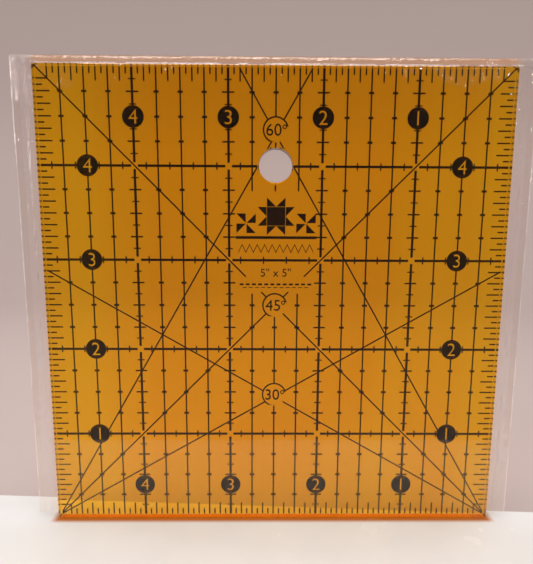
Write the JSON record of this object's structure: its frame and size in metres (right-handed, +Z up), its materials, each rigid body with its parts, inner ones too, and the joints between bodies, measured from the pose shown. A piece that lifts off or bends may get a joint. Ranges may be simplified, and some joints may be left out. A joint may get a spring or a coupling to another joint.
{
  "type": "quilting ruler",
  "caption": "Square see-through acrylic quilting ruler with a printed inch grid, angle lines and a hang hole, in a clear film sleeve that lifts off.",
  "frame": {"origin": "middle of the bottom edge, which the ruler stands on, half-way through the plate's thickness", "axes": "+Z up the plate, +X along the bottom edge towards the reader's right, -Y out of the reading face towards the reader"},
  "size_m": [0.1392, 0.0054, 0.1294],
  "materials": {
    "tinted_acrylic": "polished, see-through, with frosted cut edges",
    "black_ink": "satin screen print",
    "clear_film": "glossy clear film",
    "welded_film": "glossy clear film, welded"
  },
  "bodies": {
    "ruler": {"ruler_plate": "tinted_acrylic", "printed_grid": "black_ink"},
    "sleeve": {"sleeve_front_film": "clear_film", "sleeve_rear_film": "clear_film", "sleeve_left_seam": "welded_film", "sleeve_right_seam": "welded_film", "sleeve_top_fold": "clear_film"}
  },
  "joints": [
    {"name": "sleeve_slide", "type": "slide", "parent": "ruler", "child": "sleeve", "axis": [0, 0, 1], "range_m": [0, 0.13]}
  ]
}
